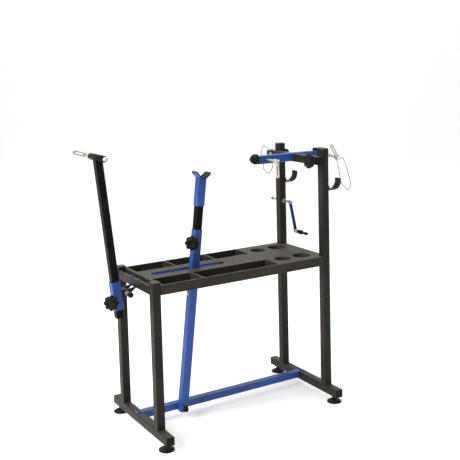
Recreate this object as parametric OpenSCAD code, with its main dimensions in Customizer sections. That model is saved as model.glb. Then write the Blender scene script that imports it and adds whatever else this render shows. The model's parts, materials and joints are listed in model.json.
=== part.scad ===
// Bike repair stand: two square-tube end frames joined by a floor bar and a tool tray, with three
// supports for a bicycle: a fork mount in front, a bottom-bracket cradle and a rear-axle post.
// Units are millimetres. +X runs from the low rear frame to the tall front frame, +Y to the
// stand's left, +Z up. The origin is on the floor, midway between the four feet.

/* [Frame] */
// Side of every square frame tube
tube = 32; // [30:1:34]
// Wall of the frame tubes
wall = 2; // [1.5:0.25:2.5]
// Distance between the rear and the front post centres
base_len = 756; // [740:2:780]
// Distance between the left and the right post centres
post_pitch = 303; // [296:1:312]
// Length of a foot bar over its end plugs
foot_len = 474; // [460:2:500]
// Gap from the floor to the underside of the foot bars
floor_gap = 27; // [26:1:30]
// Height of the rear posts above the floor
rear_top = 605; // [600:1:612]
// Height of the front posts above the floor
front_top = 1028; // [1024:1:1040]

/* [Tray] */
// Height of the tray's top above the floor
tray_top = 593; // [590:1:596]
// Depth of the tray's turned-down skirt
skirt = 36; // [34:1:40]
// Thickness of the tray's sheet steel
sheet = 1.5; // [1.2:0.1:1.6]
// Depth of the tool pockets and the bottle wells
pocket_depth = 30; // [20:1:32]
// Diameter of the two small bottle wells
small_hole_d = 65; // [60:1:66]
// Diameter of the two large bottle wells
large_hole_d = 74; // [70:1:76]

/* [Centre support] */
// Forward lean of the centre post, in degrees
post_lean = 7; // [6:0.5:8]
// Distance from the post's pivot to its top
post_len = 698; // [690:1:704]
// Side of the sliding inner tubes
inner_side = 27.8; // [27.6:0.1:28]
// Distance from the post's pivot to the bottom bracket's centre
bracket_height = 924; // [916:1:940]
// Radius of the bottom bracket shell that the cradle holds
shell_r = 21; // [20:0.5:22]

/* [Rear support] */
// Rearward lean of the rear support, in degrees
rear_lean = 5.7; // [4:0.1:7]
// Length of the rear sleeve
sleeve_len = 106; // [100:1:110]
// Distance from the tilt pivot to the rear axle, along the tube
axle_height = 512; // [500:1:520]
// Width between the rear axle's shoulders
rear_width = 130; // [126:1:135]

/* [Fork mount] */
// Width between the fork axle's shoulders
fork_width = 100; // [96:1:104]
// Underside of the crossbar above the floor
crossbar_z = 966; // [962:1:970]
// Length of the blue fork bar
fork_bar_len = 292; // [285:1:296]

/* [Hardware] */
// Diameter of the lobed clamp knobs
knob_d = 58; // [52:1:60]
// Thickness of the lobed clamp knobs
knob_h = 22; // [18:1:24]
// Diameter of a foot pad
pad_d = 58; // [50:1:60]
// Length of a quick-release lever
lever_len = 62; // [55:1:66]

/* [Hidden] */
$fn = 48;
// Radial running clearance of a pin or thread
run = 0.05;
half = tube / 2;
rear_x = -base_len / 2;
front_x = base_len / 2;
post_y = post_pitch / 2;
foot_top = floor_gap + tube;
plug_t = 2;
cap_t = 3;
corner_r = 3;

// Tray
rail_t = 2;
cross_top = tray_top - sheet - rail_t;
cross_d = 12;
cross_x = rear_x - half + cross_d / 2;
tray_rear = rear_x + half;
tray_front = front_x - half;
tongue_front = front_x + 8;
tray_half_w = post_y + half;
tongue_half_w = post_y - half - 0.5;
rib = 8;
pocket_rear = tray_rear + 14;
pocket_r = 6;
pocket_inner_y = 66;
pocket_outer_y = tray_half_w - rib;
far_ends = [-188, -9, 150];
near_ends = [-186, 152];
slot_x = [rear_x + 58, rear_x + 374];
slot_r = 18;
hole_y = 92;
small_hole_x = 215;
large_hole_x = 308;

// Floor bar and centre support
bar_w = 28;
bar_h = 26;
bar_y = half + 1;
bar_top = foot_top + rail_t;
pivot = [-204, 0, 46];
post_wall = 1.9;
bore_side = tube - 2 * post_wall;
knob_at = 651;
stop_at = 446;
head_at = 790;
inner_bottom = 540;
// Distances from a tube's axis to the clamp stud's tip and to the boss's face
tip_d = 18.9;
boss_d = 36;
pad_t = 3;
pad_low = bracket_height - shell_r * sqrt(2);
steel_low = pad_low - pad_t * sqrt(2);

// Rear support
rear_pivot = [-430, 0, 544];
axis_off = 34;
sleeve_side = 34;
sleeve_low = -58;
rear_knob_at = -16;
rear_inner_low = -89;
ear_in = 17.5;
ear_t = 4;
grip_at = 44;

// Fork mount
crossbar_half = 183;
crossbar_x = tray_front - tube;
floor_t = 3;
knob_gap = 8;
bar_z = crossbar_z + floor_t;
clamp_z = crossbar_z + half;
fork_bar_x = front_x - half - 199;
block_x = fork_bar_x + fork_bar_len;
axle_x = block_x + 29;
bar_mid = bar_z + half;
axle_z = bar_mid - 2;
skewer_x = fork_bar_x + 37;

// Swing arm
arm_pivot = [front_x, 0, 780];
arm_lean = 11.5;
arm_len = 130;

// ---------------------------------------------------------------- shared shapes

// A rectangle with rounded corners, centred
module rounded_rect(w, h, r) {
    square([w - 2 * r, h], center = true);
    square([w, h - 2 * r], center = true);
    for (sx = [-1, 1], sy = [-1, 1])
        translate([sx * (w / 2 - r), sy * (h / 2 - r)]) circle(r);
}

// A solid rounded bar along +Z
module bar(len, w, h, r) {
    linear_extrude(len) rounded_rect(w, h, r);
}

// A hollow square tube along +Z
module square_tube(len, side, w, r = corner_r) {
    difference() {
        bar(len, side, side, r);
        translate([0, 0, -1]) bar(len + 2, side - 2 * w, side - 2 * w, max(r - w, 0.8));
    }
}

module along_x() { rotate([0, 90, 0]) children(); }
module along_y() { rotate([-90, 0, 0]) children(); }
module toward_minus_y() { rotate([90, 0, 0]) children(); }

// A round bar along +Y from y0 to y1
module rod_y(r, y0, y1) {
    translate([0, y0, 0]) along_y() cylinder(r = r, h = y1 - y0);
}

// A ring along +Y
module ring_y(r, hole, y0, y1) {
    difference() {
        rod_y(r, y0, y1);
        rod_y(hole, y0 - 1, y1 + 1);
    }
}

// Places children at the four feet
module each_foot() {
    for (x = [rear_x, front_x], y = [-1, 1]) translate([x, y * foot_y(), 0]) children();
}
function foot_y() = foot_len / 2 - 34;

// The frame of the centre post: +Z runs up the post from its pivot
module on_post() { translate(pivot) rotate([0, post_lean, 0]) children(); }

// The frame of the rear support: +Z runs up the tube's axis from beside the tilt pivot
module on_rear() {
    translate(rear_pivot) rotate([0, -rear_lean, 0]) translate([-axis_off, 0, 0]) children();
}

// Points +Z out through the corner between a tube's -X and -Y sides
module out_of_corner(z) {
    translate([0, 0, z]) rotate([0, 0, 225]) rotate([0, 90, 0]) children();
}

// Lobed clamp knob along +Z: hub, then an eight-lobed body with a stepped crown
module lobed_knob(bore_r, bore_len) {
    lobes = 8;
    lobe_r = knob_d / 9;
    hub_h = 4;
    difference() {
        union() {
            cylinder(r = knob_d / 5, h = hub_h + 1);
            translate([0, 0, hub_h]) linear_extrude(knob_h - 3) {
                circle(knob_d / 2 - lobe_r * 0.8);
                for (i = [0 : lobes - 1])
                    rotate(i * 360 / lobes) translate([knob_d / 2 - lobe_r, 0]) circle(lobe_r);
            }
            translate([0, 0, hub_h]) cylinder(r = knob_d / 2 - lobe_r, h = knob_h);
        }
        translate([0, 0, -1]) cylinder(r = bore_r, h = bore_len + 1);
    }
}

// ---------------------------------------------------------------- quick-release skewers
// In a skewer's own frame +Z points to the lever's end and +X along the closed lever.

cup_r = 8;
cup_len = 10.1;
barrel_r = 5;
fork_barrel_r = 7;
eye_r = 5;
pin_r = 2;
cheek_r = 6.5;
rod_r = 2.5;

// The rod reaches rod_back behind z = 0; a sleeve of length barrel stands in front of the cup
module skewer(rod_back, pin_at, barrel, sleeve_r = barrel_r) {
    eye_w = 6;
    cup_end = pin_at - cheek_r - 0.4;
    difference() {
        union() {
            translate([0, 0, -rod_back]) cylinder(r = rod_r, h = rod_back + pin_at);
            translate([0, 0, cup_end - cup_len]) cylinder(r = cup_r, h = cup_len);
            if (barrel > 0) translate([0, 0, cup_end - cup_len - barrel])
                cylinder(r = sleeve_r, h = barrel + 1);
            translate([0, 0, pin_at]) rod_y(eye_r, -eye_w / 2, eye_w / 2);
        }
        translate([0, 0, pin_at]) rod_y(pin_r + run, -eye_w, eye_w);
    }
}

module skewer_lever(pin_at, length) {
    cheek_in = 3.2;
    cheek_out = 7;
    bridge = [7, 13];
    slot = [22, length - 14];
    translate([0, 0, pin_at]) {
        rod_y(pin_r, -cheek_out, cheek_out);
        for (s = [-1, 1]) {
            translate([0, s * (cheek_in + cheek_out) / 2, 0])
                rod_y(cheek_r, (cheek_in - cheek_out) / 2, (cheek_out - cheek_in) / 2);
            translate([0, s * (cheek_in + cheek_out) / 2 - (cheek_out - cheek_in) / 2, -3])
                cube([bridge[1], cheek_out - cheek_in, 6]);
        }
        translate([bridge[0], -cheek_out, -3]) cube([bridge[1] - bridge[0], 2 * cheek_out, 6]);
        translate([0, 0, -2.5]) linear_extrude(5) difference() {
            union() {
                polygon([[bridge[0], -6], [length - 8, -8], [length - 8, 8], [bridge[0], 6]]);
                translate([length - 8, 0]) circle(8);
            }
            for (x = slot) translate([x, 0]) circle(3);
            translate([slot[0], -3]) square([slot[1] - slot[0], 6]);
        }
    }
}

// The skewer's adjusting nut: its inner face is at z = 0 and it points to -Z
module skewer_nut() {
    difference() {
        union() {
            translate([0, 0, -4]) cylinder(r = 9, h = 4);
            translate([0, 0, -13]) cylinder(r = 7, h = 10);
        }
        translate([0, 0, -20]) cylinder(r = rod_r + run, h = 30);
    }
}

// ---------------------------------------------------------------- frame

module foot_bar(x) {
    translate([x, -foot_len / 2 + plug_t, floor_gap + half])
        along_y() square_tube(foot_len - 2 * plug_t, tube, wall);
}

module post(x, y, top) {
    translate([x, y, foot_top]) square_tube(top - cap_t - foot_top, tube, wall);
}

insert_r = 8;

module frame_holes() {
    each_foot() translate([0, 0, floor_gap - 1]) cylinder(r = insert_r, h = wall + 2);
    for (x = [rear_x, front_x], y = tab_screw_y())
        translate([x, y, foot_top - wall - 1]) cylinder(r = 3, h = wall + 2);
}
function tab_screw_y() = [bar_y + 7, bar_y + bar_w - 7];

module ear(s) {
    y0 = s > 0 ? ear_in : -ear_in - ear_t;
    reach = rear_x - half - rear_pivot[0];
    rise = cross_top - rear_pivot[2];
    top = rise - tube + 6;
    low = rise - tube;
    translate([0, y0, 0]) difference() {
        union() {
            translate(rear_pivot) rod_y(13, 0, ear_t);
            translate([rear_pivot[0], ear_t, rear_pivot[2]]) toward_minus_y() linear_extrude(ear_t)
                polygon([[-2, 12.5], [reach, top], [reach, low], [4, -12]]);
        }
        translate(rear_pivot) rod_y(4, -1, ear_t + 1);
    }
}

module rear_frame() {
    color([0.16, 0.15, 0.14]) {
        difference() {
            union() {
                foot_bar(rear_x);
                for (s = [-1, 1]) post(rear_x, s * post_y, rear_top);
                cross_member();
                for (s = [-1, 1]) ear(s);
            }
            frame_holes();
            for (s = [-1, 1]) translate([cross_x, s * rail_screw_y, cross_top - wall - 1])
                cylinder(r = 2.5, h = wall + 2);
        }
    }
}

// The flat tube that joins the rear posts and carries the tray's blue rails
module cross_member() {
    len = post_pitch - tube;
    translate([cross_x, -len / 2, cross_top - half]) along_y() difference() {
        bar(len, cross_d, tube, 1.5);
        translate([0, 0, -1]) bar(len + 2, cross_d - 2 * wall, tube - 2 * wall, 0.8);
    }
}

module front_frame() {
    color([0.16, 0.15, 0.14]) difference() {
        union() {
            foot_bar(front_x);
            for (s = [-1, 1]) post(front_x, s * post_y, front_top);
        }
        frame_holes();
        translate([tray_front - 1, -post_y, clamp_z]) along_x() cylinder(r = 5, h = wall + 2);
        translate([tray_front - 1, post_y, clamp_z]) along_x() cylinder(r = 5, h = tube + 2);
        translate([arm_pivot[0], 0, arm_pivot[2]]) rod_y(4, post_y - tube, post_y + tube);
        for (s = [-1, 1]) translate([front_x + half - wall - 1, s * post_y, hook_screw_z])
            along_x() cylinder(r = 2.5, h = wall + 2);
        for (s = [-1, 1]) translate([tray_front - 1, s * post_y, tray_screw_z])
            along_x() cylinder(r = 2.5, h = wall + 2);
    }
}

// A moulded plug that closes a square tube: plate outside, body inside, along +Z
module tube_plug(plate, grip) {
    side = tube - 2 * wall;
    bar(plate, tube, tube, corner_r);
    translate([0, 0, -grip]) square_tube(grip + 0.5, side, 2, corner_r - wall);
}

module foot_bar_plugs() {
    color([0.09, 0.09, 0.09]) for (x = [rear_x, front_x], s = [-1, 1])
        translate([x, s * (foot_len / 2 - plug_t), floor_gap + half])
            rotate([-90 * s, 0, 0]) tube_plug(plug_t, 14);
}

module post_caps() {
    color([0.28, 0.27, 0.26]) for (s = [-1, 1]) {
        translate([rear_x, s * post_y, rear_top - cap_t]) tube_plug(cap_t, 14);
        translate([front_x, s * post_y, front_top - cap_t]) tube_plug(cap_t, 14);
    }
}

module bottom_bar() {
    inner_len = base_len - tube;
    tab = half + 12;
    color([0.13, 0.27, 0.6]) difference() {
        union() {
            translate([-inner_len / 2, bar_y, bar_top - bar_h]) cube([inner_len, bar_w, bar_h]);
            translate([-base_len / 2 - tab + half, bar_y, foot_top])
                cube([base_len + 2 * tab - tube, bar_w, rail_t]);
        }
        translate([-inner_len / 2 - 1, bar_y + wall, bar_top - bar_h + wall])
            cube([inner_len + 2, bar_w - 2 * wall, bar_h - 2 * wall]);
        for (x = [rear_x, front_x], y = tab_screw_y())
            translate([x, y, foot_top - 1]) cylinder(r = 3, h = rail_t + 2);
        translate([pivot[0], 0, pivot[2]]) rod_y(5, bar_y - 1, bar_y + bar_w + 1);
    }
}

rail_screw_y = 30.5;
tray_screw_z = tray_top - 18;
hook_z = 858;
hook_screw_z = hook_z + 11;

// A button-head screw: the head stands on z = 0, the shank hangs below
module button_screw(r, len) {
    cylinder(r = 1.7 * r, h = 1.2);
    translate([0, 0, 1.2]) cylinder(r1 = 1.7 * r, r2 = r, h = 1.3);
    translate([0, 0, -len]) cylinder(r = r, h = len + 0.5);
}

module frame_screws() {
    color([0.2, 0.2, 0.2]) {
        for (x = [rear_x, front_x], y = tab_screw_y())
            translate([x, y, bar_top]) button_screw(3, 12);
        for (s = [-1, 1]) {
            translate([cross_x, s * rail_screw_y, cross_top + rail_t]) button_screw(2.5, 10);
            translate([tray_front - sheet, s * post_y, tray_screw_z])
                rotate([0, -90, 0]) button_screw(2.5, 10);
        }
        for (s = [-1, 1]) {
            translate([crossbar_x + half, s * 8, crossbar_z]) rotate([180, 0, 0])
                button_screw(2.5, 8);
            translate([front_x + half + hook_t, s * post_y, hook_screw_z]) rotate([0, 90, 0])
                button_screw(2.5, 12);
        }
    }
}

module foot_inserts() {
    color([0.6, 0.6, 0.6]) each_foot() difference() {
        union() {
            translate([0, 0, floor_gap - 1.5]) cylinder(r = 11, h = 1.5);
            translate([0, 0, floor_gap - 1]) cylinder(r = insert_r, h = 14);
        }
        translate([0, 0, floor_gap - 5]) cylinder(r = 5 + run, h = 30);
    }
}

// A levelling foot: moulded pad and its threaded stem, at the floor under the origin
module levelling_foot() {
    color([0.07, 0.07, 0.07]) {
        rotate_extrude() polygon([
            [0, 0], [pad_d / 2 - 1.5, 0], [pad_d / 2, 1.5], [pad_d / 2, 4],
            [pad_d / 2 - 6, 8], [14, 12], [9, 13.5], [9, 16], [0, 16]
        ]);
        translate([0, 0, 15]) cylinder(r = 5, h = floor_gap + 24 - 15);
        translate([0, 0, 16]) cylinder(r = 9, h = 6, $fn = 6);
    }
}

module foot_rear_left() { translate([rear_x, foot_y(), 0]) levelling_foot(); }
module foot_rear_right() { translate([rear_x, -foot_y(), 0]) levelling_foot(); }
module foot_front_left() { translate([front_x, foot_y(), 0]) levelling_foot(); }
module foot_front_right() { translate([front_x, -foot_y(), 0]) levelling_foot(); }

// ---------------------------------------------------------------- tray

function pocket_spans(ends) = [
    for (i = [0 : len(ends) - 1]) [i == 0 ? pocket_rear : ends[i - 1] + rib, ends[i]]
];

// The volume of one row of pockets, grown outwards by g; s is the side of the row
module pocket_row(ends, s, g) {
    y0 = s > 0 ? pocket_inner_y : -pocket_outer_y;
    w = pocket_outer_y - pocket_inner_y;
    for (span = pocket_spans(ends))
        translate([(span[0] + span[1]) / 2, y0 + w / 2, tray_top - pocket_depth - g])
            bar(pocket_depth + (g > 0 ? g - 0.5 : 5), span[1] - span[0] + 2 * g, w + 2 * g,
                pocket_r + g);
}

module tray_outline(inset) {
    translate([tray_rear + inset, -tray_half_w + inset])
        square([tray_front - tray_rear - 2 * inset, 2 * tray_half_w - 2 * inset]);
    translate([tray_front - 10, -tongue_half_w + inset])
        square([tongue_front - tray_front + 10 - inset, 2 * tongue_half_w - 2 * inset]);
}

// The four round bottle wells, grown outwards by g
module bottle_wells(g) {
    for (s = [-1, 1], well = [[small_hole_x, small_hole_d], [large_hole_x, large_hole_d]])
        translate([well[0], s * hole_y, tray_top - pocket_depth - g])
            cylinder(d = well[1] + 2 * g, h = pocket_depth + (g > 0 ? g - 0.5 : 5));
}

module slot_plan(x0, x1, r) {
    for (x = [x0 + r, x1 - r]) translate([x, 0]) circle(r);
    translate([x0 + r, -r]) square([x1 - x0 - 2 * r, 2 * r]);
}

module tray() {
    color([0.3, 0.28, 0.26]) difference() {
        union() {
            difference() {
                translate([0, 0, tray_top - skirt]) linear_extrude(skirt) tray_outline(0);
                translate([0, 0, tray_top - skirt - 1]) linear_extrude(skirt + 1 - sheet)
                    tray_outline(sheet);
            }
            pocket_row(far_ends, 1, sheet);
            pocket_row(near_ends, -1, sheet);
            bottle_wells(sheet);
        }
        pocket_row(far_ends, 1, 0);
        pocket_row(near_ends, -1, 0);
        bottle_wells(0);
        translate([0, 0, tray_top - sheet - 1]) linear_extrude(sheet + 2)
            slot_plan(slot_x[0], slot_x[1], slot_r);
        for (s = [-1, 1]) {
            translate([tray_rear - 1, s > 0 ? rail_y : -rail_y - rail_t, cross_top - rail_drop])
                cube([sheet + 2, rail_t, rail_drop - rail_dip]);
            translate([tray_front - sheet - 1, s * post_y, tray_screw_z])
                along_x() cylinder(r = 2.5, h = sheet + 2);
        }
    }
}

rail_y = 19.5;
rail_w = 22;
rail_drop = 18;
// How far the web's top edge lies below the tab between the cross member and the tray
rail_dip = 8;

// Angle rails: a tab on the rear cross member, an upright web, and a ledge under the tray
module slot_rails() {
    tab_end = rear_x - half + cross_d;
    ledge = tray_rear + sheet + 0.5;
    rail_end = slot_x[1] - 11;
    color([0.13, 0.27, 0.6]) for (s = [-1, 1]) difference() {
        union() {
            translate([rear_x - half, s > 0 ? rail_y : -rail_y - rail_w, cross_top])
                cube([cross_d, rail_w, rail_t]);
            translate([ledge, s > 0 ? rail_y : -rail_y - rail_w, cross_top])
                cube([rail_end - ledge, rail_w, rail_t]);
            translate([ledge, s > 0 ? rail_y : -rail_y - rail_t, cross_top - rail_drop])
                cube([rail_end - ledge, rail_t, rail_drop + rail_t]);
            translate([tab_end, s > 0 ? rail_y : -rail_y - rail_t, cross_top - rail_drop])
                cube([ledge - tab_end + 1, rail_t, rail_drop - rail_dip]);
            translate([tab_end, s > 0 ? rail_y : -rail_y - rail_t, cross_top - rail_drop])
                cube([rail_t, rail_t, rail_drop + rail_t]);
            translate([tab_end - 1, s > 0 ? rail_y : -rail_y - rail_t, cross_top])
                cube([rail_t, rail_t, rail_t]);
        }
        translate([cross_x, s * rail_screw_y, cross_top - 1]) cylinder(r = 2.5, h = rail_t + 2);
    }
}

module washers() {
    color([0.7, 0.7, 0.72]) {
        translate([pivot[0], 0, pivot[2]]) ring_y(12, 5 + run, half, bar_y);
        translate([pivot[0], 0, pivot[2]]) ring_y(11, 5 + run, -half - 1.5, -half);
        translate(rear_pivot) {
            ring_y(9, 4 + run, -ear_in - ear_t - 3, -ear_in - ear_t);
            ring_y(6.5, 4 + run, -grip_at, -ear_in - ear_t - 2.5);
            ring_y(9, 4 + run, ear_in + ear_t, ear_in + ear_t + 1.5);
        }
        translate([crossbar_x - knob_gap, -post_y, clamp_z]) along_x() difference() {
            union() {
                cylinder(r = 11, h = knob_gap);
                translate([0, 0, knob_gap / 2]) cylinder(r = 13.5, h = knob_gap / 2);
            }
            translate([0, 0, -1]) cylinder(r = 5 + run, h = knob_gap + 2);
        }
        translate([front_x + half, post_y, clamp_z]) along_x() difference() {
            cylinder(r = 12, h = 2);
            translate([0, 0, -1]) cylinder(r = 5 + run, h = 4);
        }
    }
}

// ---------------------------------------------------------------- centre support

module centre_post() {
    low = -14;
    color([0.13, 0.27, 0.6]) on_post() difference() {
        union() {
            translate([0, 0, low]) bar(post_len - low, tube, tube, corner_r);
            out_of_corner(knob_at) translate([0, 0, tip_d]) cylinder(r = 8, h = boss_d - tip_d);
        }
        translate([0, 0, low - 1]) bar(post_len - low + 2, bore_side, bore_side, 1.1);
        out_of_corner(knob_at) cylinder(r = 4 + run, h = boss_d + 2);
        rod_y(5 + run, -tube, tube);
        translate([-tube, 0, stop_at]) along_x() cylinder(r = 3, h = 2 * tube);
        translate([-half - 1, half - 4, 238]) cube([7, 6, 12]);
    }
}

module centre_pivot_bolt() {
    color([0.62, 0.62, 0.64]) translate([pivot[0], 0, pivot[2]]) {
        rod_y(5, -half - 2, bar_y + bar_w + 9);
        translate([0, -half - 1.5, 0]) toward_minus_y() cylinder(r = 9, h = 6, $fn = 6);
    }
}

module centre_pivot_nut() {
    color([0.62, 0.62, 0.64]) translate([pivot[0], bar_y + bar_w, pivot[2]]) along_y() difference() {
        cylinder(r = 9.8, h = 8, $fn = 6);
        translate([0, 0, -1]) cylinder(r = 5, h = 10);
    }
}

module centre_pivot_cap() {
    cap_r = 11;
    color([0.07, 0.07, 0.07]) translate([pivot[0], -half - 1.5, pivot[2]]) toward_minus_y() difference() {
        union() {
            cylinder(r = cap_r, h = 6);
            translate([0, 0, 6]) intersection() {
                sphere(r = cap_r);
                translate([0, 0, -1]) cylinder(r = cap_r, h = 8);
            }
        }
        translate([0, 0, -1]) cylinder(r = 9.05, h = 7.1);
    }
}

module centre_inner_tube() {
    color([0.1, 0.1, 0.1]) on_post() translate([0, 0, inner_bottom])
        square_tube(head_at + 46 - inner_bottom, inner_side, 2, 2);
}

module centre_stop_bolt() {
    color([0.62, 0.62, 0.64]) on_post() translate([0, 0, stop_at]) {
        translate([-half - 2.5, 0, 0]) along_x() cylinder(r = 5.5, h = 2.5);
        translate([-half - 1, 0, 0]) along_x() cylinder(r = 3, h = tube + 8);
        translate([half, 0, 0]) along_x() cylinder(r = 6, h = 5, $fn = 6);
    }
}

// Threaded stud of a corner clamp, along +Z from its tip
module clamp_stud() {
    translate([0, 0, tip_d]) cylinder(r = 4, h = boss_d + 16 - tip_d);
}

module centre_clamp_stud() { color([0.62, 0.62, 0.64]) on_post() out_of_corner(knob_at) clamp_stud(); }

module corner_knob() { translate([0, 0, boss_d + 1]) lobed_knob(4, 15); }

module centre_clamp_knob() { color([0.07, 0.07, 0.07]) on_post() out_of_corner(knob_at) corner_knob(); }

// V-shaped trough across +Y whose inner faces start at height low and are reach wide
module v_trough(low, reach, t, y) {
    k = t * sqrt(2);
    translate([0, y / 2, 0]) toward_minus_y() linear_extrude(y) polygon([
        [0, low], [reach, low + reach], [reach, low + reach - k], [0, low - k],
        [-reach, low + reach - k], [-reach, low + reach]
    ]);
}

module cradle() {
    v_t = 4;
    reach = 30;
    fill = 12;
    color([0.13, 0.27, 0.6]) on_post() difference() {
        union() {
            translate([0, 0, head_at]) bar(steel_low + fill - head_at, tube + 1, tube + 1, corner_r);
            v_trough(steel_low, reach, v_t, 44);
        }
        translate([0, 0, head_at - 1]) bar(47, inner_side, inner_side, 2);
        translate([0, tube, 0]) toward_minus_y() linear_extrude(2 * tube)
            polygon([[0, steel_low], [tube, steel_low + tube], [-tube, steel_low + tube]]);
    }
}

module cradle_pad() {
    color([0.06, 0.06, 0.06]) on_post() v_trough(pad_low, 29, pad_t, 43);
}

// ---------------------------------------------------------------- rear support

module rear_sleeve() {
    color([0.13, 0.27, 0.6]) on_rear() difference() {
        union() {
            translate([0, 0, sleeve_low]) bar(sleeve_len, sleeve_side, sleeve_side, corner_r);
            out_of_corner(rear_knob_at) translate([0, 0, tip_d]) cylinder(r = 8, h = boss_d - tip_d);
        }
        translate([0, 0, sleeve_low - 1]) bar(sleeve_len + 2, bore_side, bore_side, 1.1);
        out_of_corner(rear_knob_at) cylinder(r = 4 + run, h = boss_d + 2);
    }
}

// The lug welded to the sleeve's front face, which turns between the two ears
module rear_pivot_lug() {
    lug_r = 14;
    lug_half = ear_in - 0.5;
    face = sleeve_side / 2;
    color([0.16, 0.15, 0.14]) on_rear() difference() {
        union() {
            translate([axis_off, 0, 0]) rod_y(lug_r, -lug_half, lug_half);
            translate([face, -lug_half, -lug_r]) cube([axis_off - face, 2 * lug_half, 2 * lug_r]);
        }
        translate([axis_off, 0, 0]) rod_y(4 + run, -ear_in, ear_in);
    }
}

module rear_pivot_bolt() {
    far = ear_in + ear_t + 1.5;
    color([0.62, 0.62, 0.64]) translate(rear_pivot) {
        rod_y(4, -grip_at - 13, far + 0.5);
        translate([0, far, 0]) along_y() cylinder(r = 7.5, h = 5.3, $fn = 6);
    }
}

module rear_pivot_grip() {
    color([0.07, 0.07, 0.07]) translate([rear_pivot[0], -grip_at, rear_pivot[2]])
        toward_minus_y() difference() {
        union() {
            cylinder(r = 8, h = 4);
            translate([0, 0, 3]) cylinder(r = 10.5, h = 12);
            translate([0, 0, 15]) cylinder(r1 = 10.5, r2 = 7, h = 4);
        }
        translate([0, 0, -1]) cylinder(r = 4 + run, h = 15);
    }
}

module rear_clamp_stud() { color([0.62, 0.62, 0.64]) on_rear() out_of_corner(rear_knob_at) clamp_stud(); }

module rear_clamp_knob() { color([0.07, 0.07, 0.07]) on_rear() out_of_corner(rear_knob_at) corner_knob(); }

module rear_inner_tube() {
    color([0.1, 0.1, 0.1]) on_rear() difference() {
        translate([0, 0, rear_inner_low]) square_tube(axle_height - rear_inner_low, inner_side, 2, 2);
        translate([0, 0, axle_height]) rod_y(axle_sleeve_r, -tube, tube);
    }
}

axle_sleeve_r = 12;
axle_r = 5;
axle_tip = 4;

module rear_axle_sleeve() {
    color([0.1, 0.1, 0.1]) on_rear() translate([0, 0, axle_height])
        ring_y(axle_sleeve_r, axle_r, -rear_width / 2, rear_width / 2);
}

module rear_axle() {
    color([0.7, 0.7, 0.72]) on_rear() translate([0, 0, axle_height])
        ring_y(axle_r, rod_r + run, -rear_width / 2 - axle_tip, rear_width / 2 + axle_tip);
}

rear_lever_turn = 197;
rear_clamp_y = rear_width / 2 + 7;

// The rear skewer's own frame: +Z points to the left, where the lever is
module on_rear_skewer() {
    on_rear() translate([0, 0, axle_height]) rotate([0, rear_lever_turn + rear_lean, 0])
        rotate([-90, 0, 0]) children();
}

rear_pin = rear_clamp_y + 17;

module rear_skewer() {
    color([0.75, 0.75, 0.77]) on_rear_skewer() skewer(rear_clamp_y + 15, rear_pin, 0);
}

module rear_skewer_lever() {
    color([0.75, 0.75, 0.77]) on_rear_skewer() skewer_lever(rear_pin, lever_len);
}

module rear_skewer_nut() {
    color([0.75, 0.75, 0.77]) on_rear_skewer() translate([0, 0, -rear_clamp_y]) skewer_nut();
}

// ---------------------------------------------------------------- fork mount

module crossbar() {
    color([0.16, 0.15, 0.14]) difference() {
        translate([crossbar_x + half, -crossbar_half + plug_t, clamp_z])
            along_y() square_tube(2 * (crossbar_half - plug_t), tube, floor_t);
        translate([crossbar_x - 1, -half - 0.1, bar_z]) cube([tube + 2, tube + 0.2, tube]);
        for (s = [-1, 1]) {
            translate([crossbar_x - 1, s * post_y, clamp_z]) along_x() cylinder(r = 5, h = tube + 2);
            translate([crossbar_x + half, s * 8, crossbar_z - 1]) cylinder(r = 2.5, h = floor_t + 2);
        }
    }
}

module crossbar_end_caps() {
    side = tube - 2 * floor_t;
    color([0.09, 0.09, 0.09]) for (s = [-1, 1])
        translate([crossbar_x + half, s * (crossbar_half - plug_t), clamp_z]) rotate([-90 * s, 0, 0]) {
            bar(plug_t, tube, tube, corner_r);
            translate([0, 0, -14]) square_tube(14.5, side, 2, 0.8);
        }
}

// The near stud points to -X and the far bolt to +X
module crossbar_bolts() {
    color([0.62, 0.62, 0.64]) {
        translate([crossbar_x - knob_gap - 16, -post_y, clamp_z])
            along_x() cylinder(r = 5, h = knob_gap + 16 + tube + 8);
        translate([crossbar_x, post_y, clamp_z]) along_x() {
            cylinder(r = 5, h = 2 * tube + 16);
            translate([0, 0, -3]) cylinder(r = 11, h = 3);
        }
    }
}

module crossbar_near_knob() {
    color([0.07, 0.07, 0.07]) translate([crossbar_x - knob_gap, -post_y, clamp_z])
        rotate([0, -90, 0]) lobed_knob(5 + run, 17);
}

// Round hand nut on the far bolt
module crossbar_far_knob() {
    far_r = 19;
    flutes = 12;
    color([0.07, 0.07, 0.07]) translate([front_x + half + 2, post_y, clamp_z]) along_x() difference() {
        union() {
            cylinder(r = far_r - 8, h = 4);
            translate([0, 0, 3]) cylinder(r = far_r, h = 14);
            translate([0, 0, 17]) cylinder(r1 = far_r - 1, r2 = far_r - 7, h = 5);
        }
        translate([0, 0, -1]) cylinder(r = 5 + run, h = 17);
        for (i = [0 : flutes - 1]) rotate(i * 360 / flutes)
            translate([far_r + 1.2, 0, 2]) cylinder(r = 2.6, h = 22, $fn = 24);
    }
}

module fork_bar() {
    color([0.13, 0.27, 0.6]) difference() {
        translate([fork_bar_x, 0, bar_mid]) along_x() square_tube(fork_bar_len, tube, wall);
        translate([skewer_x, 0, bar_mid]) rod_y(rod_r + 0.5, -tube, tube);
        for (s = [-1, 1]) translate([crossbar_x + half, s * 8, bar_z - 1])
            cylinder(r = 2.5, h = wall + 2);
    }
}

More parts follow.
